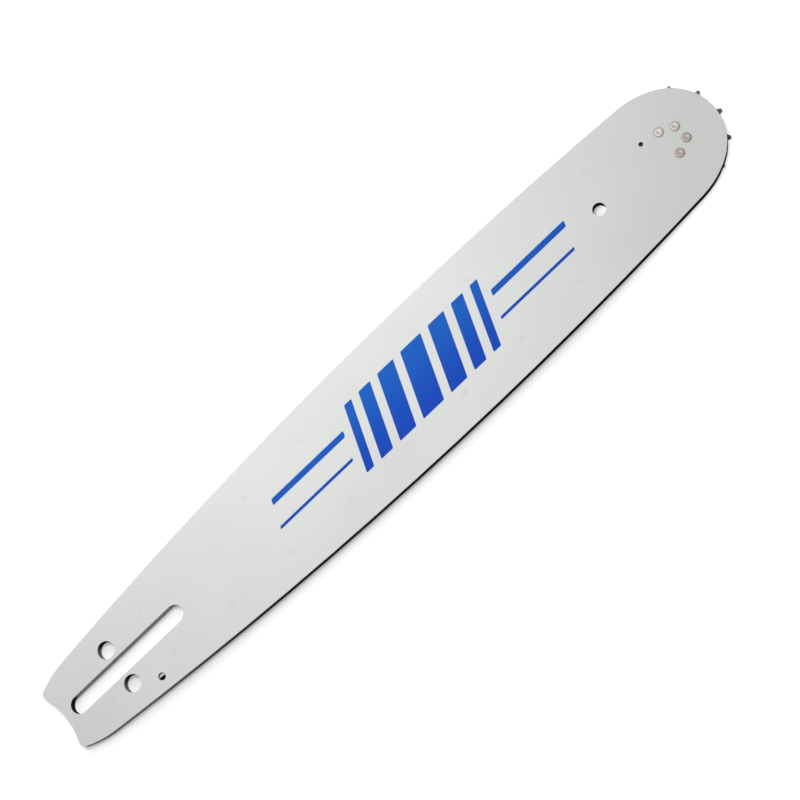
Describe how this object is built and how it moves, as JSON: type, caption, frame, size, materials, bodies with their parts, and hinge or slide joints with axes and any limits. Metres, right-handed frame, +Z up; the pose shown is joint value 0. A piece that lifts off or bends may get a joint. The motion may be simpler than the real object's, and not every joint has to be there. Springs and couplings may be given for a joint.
{
  "type": "chainsaw guide bar",
  "caption": "Laminated chainsaw guide bar with a stud slot, chain tension holes, a chain groove round its edge and a sprocket nose that turns on rollers.",
  "frame": {"origin": "middle of the stud slot, on the underside of the rear side plate", "axes": "+X along the bar from the tail to the nose, +Y across the bar, +Z up through its thickness"},
  "size_m": [0.4502, 0.0724, 0.0064],
  "materials": {
    "plate_paint": "pale grey satin paint with a printed blue band",
    "core_steel": "dark oiled steel sheet",
    "sprocket_steel": "dark hardened steel",
    "rivet_steel": "warm grey pressed steel",
    "bearing_steel": "ground bearing steel"
  },
  "bodies": {
    "bar": {"front_side_plate": "plate_paint", "rear_side_plate": "plate_paint", "core_plate": "core_steel", "bearing_race": "bearing_steel", "nose_rivets": "rivet_steel"},
    "sprocket": {"nose_sprocket": "sprocket_steel"},
    "rollers": {"bearing_roller_01": "bearing_steel", "bearing_roller_02": "bearing_steel", "bearing_roller_03": "bearing_steel", "bearing_roller_04": "bearing_steel", "bearing_roller_05": "bearing_steel", "bearing_roller_06": "bearing_steel", "bearing_roller_07": "bearing_steel", "bearing_roller_08": "bearing_steel", "bearing_roller_09": "bearing_steel", "bearing_roller_10": "bearing_steel", "bearing_roller_11": "bearing_steel", "bearing_roller_12": "bearing_steel", "bearing_roller_13": "bearing_steel", "bearing_roller_14": "bearing_steel", "bearing_roller_15": "bearing_steel", "bearing_roller_16": "bearing_steel", "bearing_roller_17": "bearing_steel", "bearing_roller_18": "bearing_steel", "bearing_roller_19": "bearing_steel", "bearing_roller_20": "bearing_steel", "bearing_roller_21": "bearing_steel", "bearing_roller_22": "bearing_steel", "bearing_roller_23": "bearing_steel", "bearing_roller_24": "bearing_steel", "bearing_roller_25": "bearing_steel", "bearing_roller_26": "bearing_steel", "bearing_roller_27": "bearing_steel", "bearing_roller_28": "bearing_steel"}
  },
  "joints": [
    {"name": "sprocket_spin", "type": "hinge", "parent": "bar", "child": "sprocket", "pos_m": [0.3754, 0, 0.0026], "axis": [0, 0, 1], "continuous": true},
    {"name": "roller_orbit", "type": "hinge", "parent": "bar", "child": "rollers", "pos_m": [0.3754, 0, 0.0026], "axis": [0, 0, 1], "continuous": true}
  ],
  "couplings": [
    {"joint": "roller_orbit", "follows": "sprocket_spin", "ratio": 0.55556}
  ]
}
